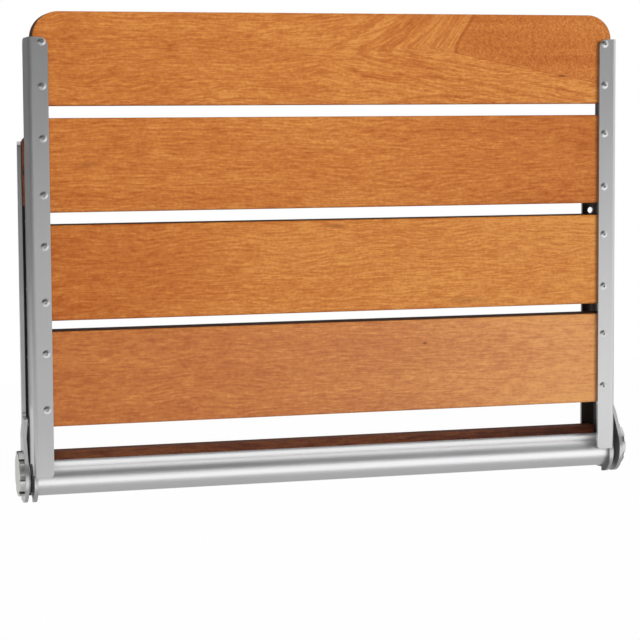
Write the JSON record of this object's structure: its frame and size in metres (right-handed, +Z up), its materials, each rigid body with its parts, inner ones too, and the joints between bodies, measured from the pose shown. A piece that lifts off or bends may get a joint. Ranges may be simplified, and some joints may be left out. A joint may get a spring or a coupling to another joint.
{
  "type": "fold down wall seat",
  "caption": "Slatted hardwood seat on steel side rails that folds down from wall rails about a tube on the hinge line.",
  "frame": {"origin": "centre of the wall bolt pattern, on the wall plane", "axes": "+X to the right seen from the room, along the seat's width; +Y into the wall; +Z up"},
  "size_m": [0.5286, 0.0523, 0.399],
  "materials": {
    "rail_steel": "brushed",
    "tube_steel": "satin polished",
    "screw_steel": "bright",
    "pin_steel": "turned",
    "spring_steel": "plain",
    "slat_wood": "oiled",
    "board_wood": "oiled",
    "hinge_plastic": "matte",
    "bumper_rubber": "matte"
  },
  "bodies": {
    "wall_frame": {"wall_rail_left": "rail_steel", "wall_rail_right": "rail_steel", "upper_back_board": "board_wood", "lower_back_board": "board_wood", "back_board_screws_left": "screw_steel", "back_board_screws_right": "screw_steel", "pivot_pin_left": "pin_steel", "pivot_pin_right": "pin_steel", "pivot_cap_left": "tube_steel", "pivot_cap_right": "tube_steel", "stop_pin_left": "pin_steel", "stop_pin_right": "pin_steel", "bumper_left": "bumper_rubber", "bumper_right": "bumper_rubber", "disc_spring_left": "spring_steel", "disc_spring_right": "spring_steel", "outer_friction_washer_left": "hinge_plastic", "outer_friction_washer_right": "hinge_plastic"},
    "seat": {"seat_rail_left": "rail_steel", "seat_rail_right": "rail_steel", "slat_1": "slat_wood", "slat_2": "slat_wood", "slat_3": "slat_wood", "slat_4": "slat_wood", "slat_screws_left": "screw_steel", "slat_screws_right": "screw_steel", "cross_tube": "tube_steel", "tube_insert_left": "pin_steel", "tube_insert_right": "pin_steel", "pivot_bush_left": "hinge_plastic", "pivot_bush_right": "hinge_plastic", "inner_friction_washer_left": "hinge_plastic", "inner_friction_washer_right": "hinge_plastic"}
  },
  "joints": [
    {"name": "seat_fold", "type": "hinge", "parent": "wall_frame", "child": "seat", "pos_m": [0, -0.0299, -0.12505], "axis": [1, 0, 0], "range_deg": [0, 90]}
  ]
}
